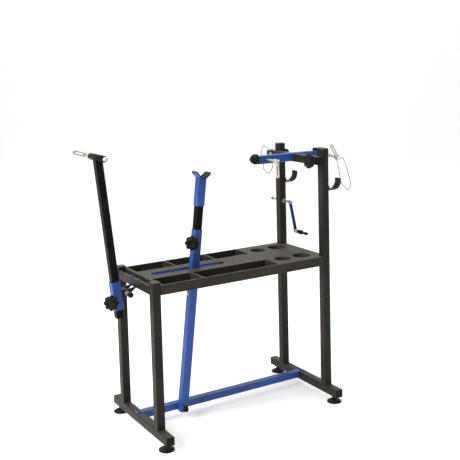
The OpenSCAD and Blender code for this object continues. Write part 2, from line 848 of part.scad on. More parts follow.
module fork_bar_cap() {
    cap_r = 20;
    side = tube - 2 * wall;
    above = 4;
    color([0.07, 0.07, 0.07]) translate([fork_bar_x, 0, bar_mid]) rotate([0, -90, 0]) {
        translate([above, 0, 0]) rotate(22.5) rotate_extrude($fn = 8) polygon([
            [0, 0], [cap_r, 0], [cap_r + 1.5, 2], [cap_r + 1.5, 13], [cap_r - 4, 23],
            [cap_r - 12, 31], [0, 34]
        ]);
        translate([0, 0, -14]) bar(14.5, side, side, 1);
    }
}

module fork_block() {
    len = 50;
    half_w = 22;
    height = 42;
    side = tube - 2 * wall;
    color([0.1, 0.1, 0.1]) difference() {
        union() {
            translate([block_x, half_w, bar_z]) toward_minus_y() linear_extrude(2 * half_w) {
                translate([12, 12]) circle(12);
                translate([len - 12, height - 12]) circle(12);
                translate([len - 12, 12]) circle(12);
                translate([0, 0]) square([12, height]);
                translate([0, 12]) square([len, height - 24]);
                translate([12, 0]) square([len - 24, height]);
            }
            translate([block_x - 20, 0, bar_mid]) along_x() bar(20.5, side, side, 1);
        }
        translate([axle_x, 0, axle_z]) rod_y(fork_axle_r, -tube, tube);
    }
}

fork_axle_r = 7.5;
fork_tip_r = 4.5;

module fork_axle() {
    color([0.75, 0.75, 0.77]) translate([axle_x, 0, axle_z]) difference() {
        union() {
            rod_y(fork_axle_r, -fork_width / 2, fork_width / 2);
            rod_y(fork_tip_r, -fork_width / 2 - axle_tip, fork_width / 2 + axle_tip);
        }
        rod_y(rod_r + run, -fork_width, fork_width);
    }
}

fork_lever_turn = 238;
fork_clamp_y = fork_width / 2 + 7;

// The fork skewer's own frame: +Z points to the right, where the lever is
module on_fork_skewer() {
    translate([axle_x, 0, axle_z]) rotate([0, fork_lever_turn, 0]) rotate([90, 0, 0]) children();
}

fork_pin = fork_clamp_y + 51;

module fork_skewer() {
    color([0.75, 0.75, 0.77]) on_fork_skewer() skewer(fork_clamp_y + 15, fork_pin, 34, fork_barrel_r);
}

module fork_skewer_lever() {
    color([0.75, 0.75, 0.77]) on_fork_skewer() skewer_lever(fork_pin, lever_len);
}

module fork_skewer_nut() {
    color([0.75, 0.75, 0.77]) on_fork_skewer() translate([0, 0, -fork_clamp_y]) skewer_nut();
}

bar_lever_turn = 90;

// The storage skewer's own frame, across the blue bar with its lever hanging on the right
module on_bar_skewer() {
    translate([skewer_x, 0, bar_mid]) rotate([0, bar_lever_turn, 0]) rotate([90, 0, 0]) children();
}

bar_pin = half + 74;
// Where the wire tie's eyelet sits on the storage skewer's far end
tie_y = half + 15;

module bar_skewer() {
    color([0.75, 0.75, 0.77]) on_bar_skewer() skewer(tie_y + 2, bar_pin, 57);
}

module bar_skewer_lever() {
    color([0.75, 0.75, 0.77]) on_bar_skewer() skewer_lever(bar_pin, lever_len + 5);
}

module bar_skewer_nut() {
    color([0.75, 0.75, 0.77]) on_bar_skewer() translate([0, 0, -half]) skewer_nut();
}

// A thin wire through a list of points, with a bead at each bend
module wire(points) {
    wire_r = 0.9;
    bead_r = 1.6;
    for (i = [1 : len(points) - 1]) {
        d = points[i] - points[i - 1];
        translate(points[i - 1]) rotate([0, acos(d[2] / norm(d)), atan2(d[1], d[0])])
            cylinder(r = wire_r, h = norm(d), $fn = 16);
    }
    for (p = points) translate(p) sphere(bead_r, $fn = 20);
}

// A wire lanyard: a collar on a skewer with a loop hanging from it in the X-Z plane
module lanyard(at_r, loop) {
    top = [0, 0, -at_r - 2.2];
    ring_y(at_r + 2, at_r + run, -1.25, 1.25);
    wire(concat([top], [for (p = loop) [p[0], 0, p[1]]]));
    wire([top, [loop[len(loop) - 1][0], 0, loop[len(loop) - 1][1]]]);
}

fork_loop = [[37, -2], [73, -102], [73, -131], [59, -144], [24, -111], [8, -20]];
bar_loop = [[-25, -12], [-23, -31], [-1, -55], [16, -34], [18, -12]];

// A wire tie from the storage skewer's far end to the crossbar's far end
module far_tie() {
    eyelet = [crossbar_x + half, crossbar_half - 12, crossbar_z + tube];
    translate([skewer_x, tie_y, bar_mid]) ring_y(4.5, rod_r + run, -0.8, 0.8);
    translate(eyelet) cylinder(r = 4, h = 1.5);
    wire([
        [skewer_x, tie_y, bar_mid + 4.6], [skewer_x + 9, tie_y + 1, bar_mid + 41],
        [skewer_x + 32, tie_y + 22, bar_mid + 49], [skewer_x + 86, tie_y + 88, bar_mid + 29],
        eyelet + [0, 0, 1.9]
    ]);
}

module lanyards() {
    color([0.6, 0.6, 0.6]) {
        translate([axle_x, -fork_clamp_y - 42, axle_z]) lanyard(cup_r, fork_loop);
        translate([skewer_x, -half - 12, bar_mid]) lanyard(barrel_r, bar_loop);
        far_tie();
    }
}

// ---------------------------------------------------------------- hooks and swing arm

hook_t = 4;
hook_w = 30;
hook_bend = 34;

// Part of the hook's round bend, between insets a and b from its outer edge
module hook_band(a, b, from_angle) {
    intersection() {
        difference() {
            circle(hook_bend - a);
            circle(hook_bend - b);
        }
        polygon([[0, 0], [80 * cos(from_angle), 80 * sin(from_angle)], [80, -80], [80, 0]]);
    }
}

// Side view in X, Z with the post's face at X = 0 and the arm's underside at Z = 0
module hook_side() {
    root = 26;
    square([root, hook_t]);
    translate([0, 0]) square([hook_t, 18]);
    translate([root, hook_bend]) hook_band(0, hook_t, -90);
    translate([root + hook_bend - hook_t, hook_bend]) square([hook_t, 8]);
}

module hook_cover_side() {
    root = 26;
    cover = 2;
    translate([root, hook_bend]) {
        hook_band(-cover, 0, -62);
        hook_band(hook_t, hook_t + cover, -62);
    }
    for (x = [root + hook_bend, root + hook_bend - hook_t - cover])
        translate([x, hook_bend]) square([cover, 10]);
    translate([root + hook_bend - hook_t, hook_bend + 8]) square([hook_t, 2]);
}

module at_hooks() {
    for (s = [-1, 1]) translate([front_x + half, s * post_y + hook_w / 2, hook_z])
        toward_minus_y() linear_extrude(hook_w) children();
}

module hooks() {
    color([0.4, 0.38, 0.36]) difference() {
        at_hooks() hook_side();
        for (s = [-1, 1]) translate([front_x, s * post_y, hook_screw_z])
            along_x() cylinder(r = 2.5, h = tube);
    }
}

module hook_sleeves() {
    color([0.2, 0.19, 0.18]) at_hooks() hook_cover_side();
}

module swing_rod() {
    color([0.7, 0.7, 0.72]) translate(arm_pivot) {
        rod_y(4, arm_y[0] - 5, 218);
        rod_y(7, arm_y[0] - 5, arm_y[0] - 0.3);
        rod_y(7, 214, 219);
    }
}

module swing_rod_collars() {
    color([0.7, 0.7, 0.72]) translate(arm_pivot) {
        ring_y(8, 4, post_y - half - 8, post_y - half);
        ring_y(8, 4, post_y + half, post_y + half + 8);
        ring_y(7, 4, arm_y[1] + 0.3, arm_y[1] + 6);
    }
}

// The swing arm's own frame: +Z runs down the arm from its rod
module on_arm() {
    translate(arm_pivot) rotate([0, 180 - arm_lean, 0]) children();
}

arm_y = [80, 86];

module swing_arm() {
    w = 13;
    color([0.13, 0.27, 0.6]) on_arm() difference() {
        union() {
            for (z = [0, arm_len]) translate([0, 0, z]) rod_y(w / 2 + 1, arm_y[0], arm_y[1]);
            translate([-w / 2, arm_y[0], 0]) cube([w, arm_y[1] - arm_y[0], arm_len]);
        }
        rod_y(4 + run, arm_y[0] - 1, arm_y[1] + 1);
        translate([0, 0, arm_len]) rod_y(4, arm_y[0] - 1, arm_y[1] + 1);
    }
}

module swing_pin() {
    color([0.2, 0.2, 0.2]) on_arm() translate([0, 0, arm_len]) {
        rod_y(4, 5, arm_y[1] + 1);
        rod_y(7, arm_y[1], arm_y[1] + 3);
    }
}

module swing_roller() {
    color([0.75, 0.75, 0.77]) on_arm() translate([0, 0, arm_len]) difference() {
        union() {
            rod_y(9, 64, 67);
            rod_y(7, 66, 77);
            rod_y(9, 76, 79);
        }
        rod_y(4 + run, 60, 80);
    }
}

// The sleeve that keeps the roller on the pin, and the pin's rubber tip
module swing_pin_grips() {
    color([0.07, 0.07, 0.07]) on_arm() translate([0, 0, arm_len]) {
        ring_y(5.5, 4, 54, 63.5);
        ring_y(9, 4, 38, 54.5);
        ring_y(5.5, 4, 30, 38.5);
        difference() {
            rod_y(6, 2, 18);
            rod_y(4, 5, 20);
        }
    }
}

rear_frame();
front_frame();
foot_bar_plugs();
post_caps();
bottom_bar();
frame_screws();
foot_inserts();
foot_rear_left();
foot_rear_right();
foot_front_left();
foot_front_right();
tray();
slot_rails();
washers();
centre_post();
centre_pivot_bolt();
centre_pivot_nut();
centre_pivot_cap();
centre_inner_tube();
centre_stop_bolt();
centre_clamp_stud();
centre_clamp_knob();
cradle();
cradle_pad();
rear_sleeve();
rear_pivot_lug();
rear_pivot_bolt();
rear_pivot_grip();
rear_clamp_stud();
rear_clamp_knob();
rear_inner_tube();
rear_axle_sleeve();
rear_axle();
rear_skewer();
rear_skewer_lever();
rear_skewer_nut();
crossbar();
crossbar_end_caps();
crossbar_bolts();
crossbar_near_knob();
crossbar_far_knob();
fork_bar();
fork_bar_cap();
fork_block();
fork_axle();
fork_skewer();
fork_skewer_lever();
fork_skewer_nut();
bar_skewer();
bar_skewer_lever();
bar_skewer_nut();
lanyards();
hooks();
hook_sleeves();
swing_rod();
swing_rod_collars();
swing_arm();
swing_pin();
swing_roller();
swing_pin_grips();
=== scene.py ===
import json
import math
import bmesh
import bpy
from mathutils import Matrix, Vector


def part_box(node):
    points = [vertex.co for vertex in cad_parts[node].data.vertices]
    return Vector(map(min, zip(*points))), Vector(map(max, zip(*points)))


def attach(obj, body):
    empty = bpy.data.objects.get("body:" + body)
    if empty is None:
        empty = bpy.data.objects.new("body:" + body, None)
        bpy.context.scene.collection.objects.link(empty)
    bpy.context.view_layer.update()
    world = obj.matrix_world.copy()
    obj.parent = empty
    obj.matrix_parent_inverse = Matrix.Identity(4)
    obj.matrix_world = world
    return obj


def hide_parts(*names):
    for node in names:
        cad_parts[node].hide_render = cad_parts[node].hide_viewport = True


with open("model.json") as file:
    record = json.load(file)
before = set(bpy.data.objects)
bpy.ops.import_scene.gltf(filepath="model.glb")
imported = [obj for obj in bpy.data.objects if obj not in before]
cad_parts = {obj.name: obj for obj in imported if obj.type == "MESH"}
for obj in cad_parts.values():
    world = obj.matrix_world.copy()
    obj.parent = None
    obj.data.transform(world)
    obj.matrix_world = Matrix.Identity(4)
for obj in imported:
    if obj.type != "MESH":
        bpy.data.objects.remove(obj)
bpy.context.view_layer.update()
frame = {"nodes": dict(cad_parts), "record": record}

MM = 0.001


# ---------------------------------------------------------------- node helpers

class Shader:
    """A material being built: each method adds a node and returns the socket it gives."""

    def __init__(self, name):
        self.mat = bpy.data.materials.new(name)
        self.mat.use_nodes = True
        self.tree = self.mat.node_tree
        self.tree.nodes.clear()
        self.bsdf = self.tree.nodes.new("ShaderNodeBsdfPrincipled")
        out = self.tree.nodes.new("ShaderNodeOutputMaterial")
        self.tree.links.new(self.bsdf.outputs[0], out.inputs[0])
        self.coord = self.tree.nodes.new("ShaderNodeTexCoord").outputs["Object"]
        self.normal_in = None

    def node(self, kind, inputs=(), **props):
        n = self.tree.nodes.new(kind)
        for key, value in props.items():
            setattr(n, key, value)
        for key, value in dict(inputs).items():
            if isinstance(value, bpy.types.NodeSocket):
                self.tree.links.new(value, n.inputs[key])
            else:
                n.inputs[key].default_value = value
        return n

    def noise(self, scale, detail=2.0, stretch=(1, 1, 1), rough=0.5):
        where = self.node("ShaderNodeMapping", {"Vector": self.coord, "Scale": stretch}).outputs[0]
        n = self.node("ShaderNodeTexNoise", {"Vector": where, "Scale": scale, "Detail": detail,
                                             "Roughness": rough})
        return n.outputs["Fac"]

    def ramp(self, value, low, high, a=0.0, b=1.0):
        n = self.node("ShaderNodeMapRange", {"Value": value, "From Min": low, "From Max": high,
                                             "To Min": a, "To Max": b})
        return n.outputs[0]

    def math(self, op, a, b=0.0, clamp=False):
        n = self.node("ShaderNodeMath", {0: a, 1: b}, operation=op, use_clamp=clamp)
        return n.outputs[0]

    def mix(self, fac, a, b):
        n = self.node("ShaderNodeMix", data_type="RGBA")
        for key, value in ((0, fac), (6, a), (7, b)):
            if isinstance(value, bpy.types.NodeSocket):
                self.tree.links.new(value, n.inputs[key])
            else:
                n.inputs[key].default_value = value
        return n.outputs[2]

    def edge(self, radius):
        """1 on the sharp edges of a piece, 0 on its flats."""
        flat = self.node("ShaderNodeNewGeometry").outputs["Normal"]
        soft = self.node("ShaderNodeBevel", {"Radius": radius}, samples=4).outputs[0]
        dot = self.node("ShaderNodeVectorMath", {0: flat, 1: soft}, operation="DOT_PRODUCT")
        return self.ramp(dot.outputs["Value"], 0.995, 0.86)

    def bump(self, height, strength, distance):
        values = {"Height": height, "Strength": strength, "Distance": distance}
        if self.normal_in is not None:
            values["Normal"] = self.normal_in
        self.normal_in = self.node("ShaderNodeBump", values).outputs[0]

    def facing(self, low, high):
        """0 to 1 as the normal's height goes from low to high."""
        n = self.node("ShaderNodeNewGeometry").outputs["Normal"]
        z = self.node("ShaderNodeSeparateXYZ", {0: n}).outputs["Z"]
        return self.ramp(z, low, high)

    def up(self):
        """1 on surfaces that face up, 0 on the rest."""
        return self.facing(0.75, 0.98)

    def down(self):
        """0 on surfaces that face up or sideways, rising to 1 on those that face down."""
        return self.facing(0.05, -0.75)

    def done(self, color, rough, metal=0.0, **extra):
        for key, value in (("Base Color", color), ("Roughness", rough), ("Metallic", metal),
                           *extra.items()):
            key = key.replace("_", " ")
            if isinstance(value, bpy.types.NodeSocket):
                self.tree.links.new(value, self.bsdf.inputs[key])
            else:
                self.bsdf.inputs[key].default_value = value
        if self.normal_in is not None:
            self.tree.links.new(self.normal_in, self.bsdf.inputs["Normal"])
        return self.mat


def rgb(r, g, b):
    return (r, g, b, 1.0)


def powder(name, color, worn, rough, grain=1500, speckle=0.25, wear=0.35, spec=0.17,
           tint=(1.0, 0.87, 0.74, 1.0)):
    """Powder coat: orange-peel grain, cloudy tone, dust on top faces and rubbed edges."""
    s = Shader(name)
    cloud = s.noise(9.0, 3.0)
    patch = s.noise(60.0, 4.0)
    grain_h = s.noise(grain, 2.0)
    fine = s.noise(grain * 2.6, 1.0)
    dark = tuple(c * 0.82 for c in color[:3]) + (1.0,)
    light = tuple(min(1.0, c * 1.22 + 0.004) for c in color[:3]) + (1.0,)
    base = s.mix(s.ramp(cloud, 0.35, 0.65), dark, light)
    base = s.mix(s.ramp(fine, 0.56, 0.74, 0.0, speckle), base, worn)
    rub = s.math("MULTIPLY", s.edge(0.0011), s.ramp(patch, 0.42, 0.68), True)
    scuff = s.ramp(s.noise(34.0, 6.0, (1, 1, 0.09), 0.72), 0.66, 0.74, 0.0, 0.32)
    base = s.mix(s.math("MULTIPLY", rub, wear), base, worn)
    base = s.mix(scuff, base, s.mix(0.35, base, worn))
    dust = s.math("MULTIPLY", s.up(), s.ramp(patch, 0.3, 0.8, 0.05, 0.22))
    base = s.mix(dust, base, rgb(0.34, 0.31, 0.27))
    r = s.math("ADD", s.ramp(patch, 0.3, 0.7, rough - 0.05, rough + 0.07), s.math("MULTIPLY", rub, 0.12))
    s.bump(grain_h, 0.34, 0.00022)
    s.bump(cloud, 0.05, 0.002)
    return s.done(base, r, Specular_IOR_Level=spec, Specular_Tint=tint)


def steel(name, color, rough, stretch=(1, 1, 40), scale=220, tarnish=0.35, under=0.0, metal=1.0):
    """Metal: drawn or brushed lines, spots of tarnish, painted shade on the faces that point down and bright
    rubbed edges.
    """
    s = Shader(name)
    lines = s.noise(scale, 3.0, stretch)
    spots = s.noise(140.0, 5.0, rough=0.65)
    dark = tuple(c * 0.45 for c in color[:3]) + (1.0,)
    base = s.mix(s.ramp(spots, 0.5, 0.72, 0.0, tarnish), color, dark)
    base = s.mix(s.ramp(lines, 0.3, 0.7, 0.0, 0.25), base, dark)
    # Painted shade: faces that point down are darkened towards near-black, by the fraction passed as under.
    base = s.mix(s.math("MULTIPLY", s.down(), under), base, rgb(0.03, 0.028, 0.025))
    base = s.mix(s.math("MULTIPLY", s.edge(0.0005), 0.4), base, rgb(0.93, 0.93, 0.92))
    grime = s.ramp(spots, 0.5, 0.75, 0.0, 0.16)
    r = s.math("ADD", s.ramp(lines, 0.3, 0.7, rough - 0.06, rough + 0.08), grime)
    s.bump(lines, 0.12, 0.0001)
    return s.done(base, r, metal)


def plastic(name, color, rough, grain=1900, sheen=0.0):
    """Moulded plastic or rubber: spark-eroded grain, paler rubbed edges, greasy patches."""
    s = Shader(name)
    patch = s.noise(70.0, 4.0)
    grain_h = s.noise(grain, 2.0)
    pale = tuple(min(1.0, c * 2.1 + 0.012) for c in color[:3]) + (1.0,)
    base = s.mix(s.ramp(patch, 0.35, 0.7, 0.0, 0.35), color, pale)
    base = s.mix(s.math("MULTIPLY", s.edge(0.0009), 0.5), base, pale)
    dust = s.math("MULTIPLY", s.up(), s.ramp(patch, 0.35, 0.8, 0.02, 0.16))
    base = s.mix(dust, base, rgb(0.3, 0.28, 0.25))
    s.bump(grain_h, 0.4, 0.00025)
    return s.done(base, s.ramp(patch, 0.3, 0.7, rough - 0.07, rough + 0.09), Sheen_Weight=sheen,
                  Specular_IOR_Level=0.1, Specular_Tint=rgb(1, 0.94, 0.88))


def glossy_tube(name, color):
    """Black anodised tube: even gloss with fine lengthwise scratches from sliding."""
    s = Shader(name)
    scratch = s.ramp(s.noise(900.0, 2.0, (1, 1, 0.012)), 0.62, 0.72)
    patch = s.noise(45.0, 4.0)
    base = s.mix(s.ramp(patch, 0.35, 0.7, 0.0, 0.4), color, rgb(0.02, 0.019, 0.018))
    base = s.mix(s.math("MULTIPLY", scratch, 0.22), base, rgb(0.06, 0.057, 0.053))
    base = s.mix(s.math("MULTIPLY", s.edge(0.0007), 0.35), base, rgb(0.09, 0.085, 0.08))
    s.bump(scratch, 0.1, 0.00005)
    r = s.math("ADD", s.ramp(patch, 0.3, 0.7, 0.27, 0.36), s.math("MULTIPLY", scratch, 0.15))
    return s.done(base, r, Specular_IOR_Level=0.03, Specular_Tint=rgb(1, 0.92, 0.84))


WORN = rgb(0.19, 0.175, 0.155)
MATS = {
    "powder_black": powder("powder_black", rgb(0.0092, 0.0076, 0.0062), WORN, 0.46),
    "tray_grey": powder("tray_grey", rgb(0.02, 0.0165, 0.013), WORN, 0.55, grain=1000, speckle=0.4),
    "powder_blue": powder("powder_blue", rgb(0.006, 0.056, 0.27), rgb(0.12, 0.2, 0.38), 0.4,
                          speckle=0.12, wear=0.4, spec=0.36, tint=rgb(1, 1, 1)),
    "tube_black": glossy_tube("tube_black", rgb(0.0045, 0.0041, 0.0037)),
    "steel": steel("steel", rgb(0.46, 0.45, 0.42), 0.34),
    "wire": steel("wire", rgb(0.085, 0.08, 0.072), 0.42, (1, 1, 1), 900, 0.4),
    # polished: its 0.85 is the painted shade on its down-facing faces.
    "polished": steel("polished", rgb(0.84, 0.81, 0.73), 0.3, (1, 40, 1), 160, 0.3, 0.85, 0.7),
    "plastic_black": plastic("plastic_black", rgb(0.005, 0.0046, 0.0042), 0.42),
    "plastic_cap": plastic("plastic_cap", rgb(0.055, 0.049, 0.043), 0.5),
    "rubber": plastic("rubber", rgb(0.014, 0.0125, 0.0115), 0.68, 1300, 0.1),
    "screw_black": steel("screw_black", rgb(0.07, 0.068, 0.065), 0.34, (1, 1, 1), 300, 0.5),
}
SLOT_OF = {p["node"]: p["material_slot"] for p in frame["record"]["subparts"]}


def paint(obj, slot):
    obj.data.materials.clear()
    obj.data.materials.append(MATS[slot])


for node_name, obj in frame["nodes"].items():
    paint(obj, SLOT_OF[node_name])


# ---------------------------------------------------------------- building pieces

JOINTS = {j["name"]: j for j in frame["record"]["behaviour"]["joints"]}


def spot(joint):
    return Vector(JOINTS[joint]["pos_m"])


def axis(joint):
    return Vector(JOINTS[joint]["axis"]).normalized()


def size(node):
    lo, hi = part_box(node)
    return Vector(hi) - Vector(lo)


def middle(node):
    lo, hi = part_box(node)
    return (Vector(hi) + Vector(lo)) / 2


def frame_at(origin, z_axis, x_axis=None):
    """The matrix that takes +Z to z_axis, with +X as near to x_axis as it can be."""
    z = Vector(z_axis).normalized()
    x = Vector(x_axis) if x_axis is not None else z.orthogonal()
    x = (x - x.dot(z) * z).normalized()
    m = Matrix((x, z.cross(x), z)).transposed().to_4x4()
    return Matrix.Translation(origin) @ m


def add(name, bm, body, slot, at=None, smooth=math.radians(38), stands_for=()):
    """Makes the piece from bm (in mm, in the frame at), paints it and rides it on the body."""
    bmesh.ops.remove_doubles(bm, verts=bm.verts, dist=1e-4)
    bmesh.ops.recalc_face_normals(bm, faces=bm.faces)
    me = bpy.data.meshes.new(name)
    bm.to_mesh(me)
    bm.free()
    me.transform(Matrix.Scale(MM, 4))
    if at is not None:
        me.transform(at)
    obj = bpy.data.objects.new(name, me)
    bpy.context.scene.collection.objects.link(obj)
    me.shade_smooth()
    me.set_sharp_from_angle(angle=smooth)
    paint(obj, slot)
    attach(obj, body)
    if stands_for:
        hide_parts(*stands_for)
    return obj


def revolve(bm, profile, steps=48, shape=None):
    """Turns profile [(r, z)] about Z. shape(angle) scales the radius where the point's third
    value says how much of the shape it takes. Points with r = 0 close the ends."""
    rings = []
    for point in profile:
        r, z = point[0], point[1]
        share = point[2] if len(point) > 2 else 0.0
        if r == 0:
            rings.append([bm.verts.new((0, 0, z))])
            continue
        ring = []
        for i in range(steps):
            a = 2 * math.pi * i / steps
            rr = r * (1 + share * shape(a)) if shape else r
            ring.append(bm.verts.new((rr * math.cos(a), rr * math.sin(a), z)))
        rings.append(ring)
    for a, b in zip(rings, rings[1:]):
        for i in range(steps):
            j = (i + 1) % steps
            quad = [a[i % len(a)], a[j % len(a)], b[j % len(b)], b[i % len(b)]]
            quad = [v for n, v in enumerate(quad) if v not in quad[:n]]
            if len(quad) > 2:
                bm.faces.new(quad)


def sweep(bm, points, radius, sides=8, closed=False):
    """A round rope along points; radius may be a function of the distance travelled."""
    pts = [Vector(p) for p in points]
    n = len(pts)
    rings = []
    up = None
    travelled = 0.0
    for i, p in enumerate(pts):
        before = pts[(i - 1) % n] if closed or i else p
        after = pts[(i + 1) % n] if closed or i < n - 1 else p
        along = (after - before).normalized()
        up = along.orthogonal() if up is None else (up - up.dot(along) * along)
        up.normalize()
        side = along.cross(up)
        if i:
            travelled += (p - pts[i - 1]).length
        r = radius(travelled) if callable(radius) else radius
        rings.append([bm.verts.new(p + r * (math.cos(a) * up + math.sin(a) * side))
                      for a in (2 * math.pi * k / sides for k in range(sides))])
    pairs = list(zip(rings, rings[1:])) + ([(rings[-1], rings[0])] if closed else [])
    for a, b in pairs:
        for k in range(sides):
            m = (k + 1) % sides
            bm.faces.new((a[k], a[m], b[m], b[k]))
    if not closed:
        bm.faces.new(rings[0][::-1])
        bm.faces.new(rings[-1])


def straight(a, b, step):
    a, b = Vector(a), Vector(b)
    n = max(2, int((b - a).length / step))
    return [a.lerp(b, i / n) for i in range(n + 1)]


def ripple(r, pitch=2.6):
    """Weld bead radius: a row of overlapping puddles."""
    return lambda s: r * (0.74 + 0.26 * abs(math.sin(math.pi * s / pitch)))


def bead(bm, a, b, r=2.0):
    sweep(bm, straight(a, b, 0.55), ripple(r), 8)


def thread(bm, r, z0, z1, pitch=1.5, depth=0.5):
    """A helical ridge round +Z."""
    steps = 20
    n = int((z1 - z0) / pitch * steps)
    sweep(bm, [(r * math.cos(2 * math.pi * i / steps), r * math.sin(2 * math.pi * i / steps),
                z0 + (z1 - z0) * i / n) for i in range(n + 1)], depth, 5)


# ---------------------------------------------------------------- welds

SIDE = size("front_frame").x / MM
FOOT_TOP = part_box("foot_bar_plugs")[1][2] / MM
POST_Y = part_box("post_caps")[1][1] / MM - SIDE / 2
FRONT_X = middle("front_frame").x / MM
RAIL_T = 2
CROSS_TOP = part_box("slot_rails")[1][2] / MM - RAIL_T
REAR_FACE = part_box("slot_rails")[0][0] / MM
REAR_X = REAR_FACE + SIDE / 2
CROSS_D = 12


def frame_welds():
    """Beads round the feet of the posts, the cross member's ends and the ears."""
    bm = bmesh.new()
    fillet, seam = 2.3, 1.1
    run = SIDE / 2 - 2.5
    flush = SIDE / 2 - 0.7
    for x in (FRONT_X, REAR_X):
        for side in (-1, 1):
            for face in (-1, 1):
                y = side * POST_Y + face * SIDE / 2
                bead(bm, (x - run, y, FOOT_TOP), (x + run, y, FOOT_TOP), fillet)
            for face in (-1, 1):
                edge_x = x + face * flush
                y = side * POST_Y
                bead(bm, (edge_x, y - run, FOOT_TOP), (edge_x, y + run, FOOT_TOP), seam)
    end = POST_Y - SIDE / 2
    low = CROSS_TOP - SIDE
    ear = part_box("rear_sleeve")[1][1] / MM + 4.5
    for side in (-1, 1):
        for x in (REAR_FACE + 0.4, REAR_FACE + CROSS_D - 0.4):
            bead(bm, (x, side * end, low + 3), (x, side * end, CROSS_TOP - 2), 1.5)
        for z in (low, CROSS_TOP):
            bead(bm, (REAR_FACE + 2, side * end, z), (REAR_FACE + CROSS_D - 2, side * end, z), 1.6)
        bead(bm, (REAR_FACE, side * ear, low + 0.5), (REAR_FACE, side * ear, low + 7), 1.7)
    add("weld_beads", bm, "frame", "powder_black")


def tilted(joint_slide, joint_pivot):
    """The frame of a leaning tube: +Z up the tube, +X forward."""
    return frame_at(spot(joint_pivot), axis(joint_slide), (1, 0, 0))


def post_welds():
    """A ring of weld where each clamp boss meets the corner of its tube."""
    at = tilted("centre_height", "centre_tilt")
    knob_up = (spot("centre_knob_turn") - spot("centre_tilt")).dot(axis("centre_height")) / MM
    boss_r = 8.3
    half_tube = 16
    corner = 21.6
    out = Vector((-1, -1, 0)).normalized()
    side = Vector((1, -1, 0)).normalized()
    for name, body, matrix, height, wider in (
            ("centre_boss_weld", "centre_post", at, knob_up, 0.0),
            ("rear_boss_weld", "rear_sleeve", tilted("rear_height", "rear_knob_turn"), 0, 0.6)):
        bm = bmesh.new()
        loop = []
        n = 90
        for i in range(n):
            a = 2 * math.pi * i / n
            u, v = boss_r * math.cos(a), boss_r * math.sin(a)
            reach = min(half_tube * math.sqrt(2) - abs(u), corner) + wider
            loop.append(out * reach + side * u + Vector((0, 0, height + v)))
        sweep(bm, loop, ripple(1.5, 2.9), 8, closed=True)
        add(name, bm, body, "powder_blue", matrix)


def lug_weld():
    """Beads where the black lug meets the rear sleeve's front face."""
    face = 17
    lug_up = 16
    half_w, half_h = 15.5, 14
    bm = bmesh.new()
    for s in (-1, 1):
        bead(bm, (face, -half_w, lug_up + s * half_h), (face, half_w, lug_up + s * half_h), 1.7)
        bead(bm, (face - 0.6, s * 16.4, lug_up - half_h), (face - 0.6, s * 16.4, lug_up + half_h), 1.5)
    add("rear_lug_weld", bm, "rear_sleeve", "powder_black", tilted("rear_height", "rear_knob_turn"))


# ---------------------------------------------------------------- knobs and nuts

def lobes(count, sharp=1.0):
    def shape(a):
        c = 0.5 + 0.5 * math.cos(count * a)
        return c ** sharp - 1.0
    return shape


def knob(name, node, body, joint, start):
    """Eight-lobed clamp knob, with a domed crown, a dished centre and a fluted skirt."""
    reach = 29.0
    depth = 0.17
    bm = bmesh.new()
    prof = [(0, 0), (11.6, 0), (11.6, 3.4), (13.0, 4.0), (22.0, 4.2, depth), (reach - 2.2, 4.7, depth),
            (reach - 0.7, 5.6, depth), (reach, 7.6, depth), (reach, 18.2, depth), (reach - 0.7, 20.6, depth),
            (reach - 2.4, 22.3, depth), (reach - 5.5, 23.3, depth * 0.8), (20.0, 24.4, depth * 0.35),
            (16.5, 25.3), (13.6, 25.9), (12.4, 25.9), (11.9, 25.2), (11.3, 24.5), (6.0, 24.2), (0, 24.1)]
    revolve(bm, prof, 128, lobes(8, 0.62))
    out = axis(joint) if axis(joint).dot(middle(node) - start) > 0 else -axis(joint)
    add(name, bm, body, "plastic_black", frame_at(start, out, (0, 0, 1)), math.radians(55), (node,))


def knobs():
    seat = 37
    for post in ("centre", "rear"):
        turn = post + "_knob_turn"
        knob(post + "_knob_grip", post + "_clamp_knob", post + "_knob", turn,
             spot(turn) + axis(turn) * seat * MM)
    lo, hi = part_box("crossbar_near_knob")
    c = middle("crossbar_near_knob")
    knob("crossbar_knob_grip", "crossbar_near_knob", "crossbar_knob", "crossbar_knob_turn",
         Vector((hi[0], c.y, c.z)))


def fluted(name, node, body, slot, direction, profile, count, deep):
    """A turned nut or grip with flutes round it, in place of a CAD node; +Z is its outer end."""
    lo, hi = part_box(node)
    c = middle(node)
    d = Vector(direction).normalized()
    half = sum(abs(d[i]) * (hi[i] - lo[i]) for i in range(3)) / 2
    bm = bmesh.new()
    revolve(bm, [(r, z, deep if f else 0.0) for r, z, f in profile], count * 8,
            lambda a: -0.5 + 0.5 * math.cos(count * a))
    add(name, bm, body, slot, frame_at(c - d * half, d), math.radians(50), (node,))


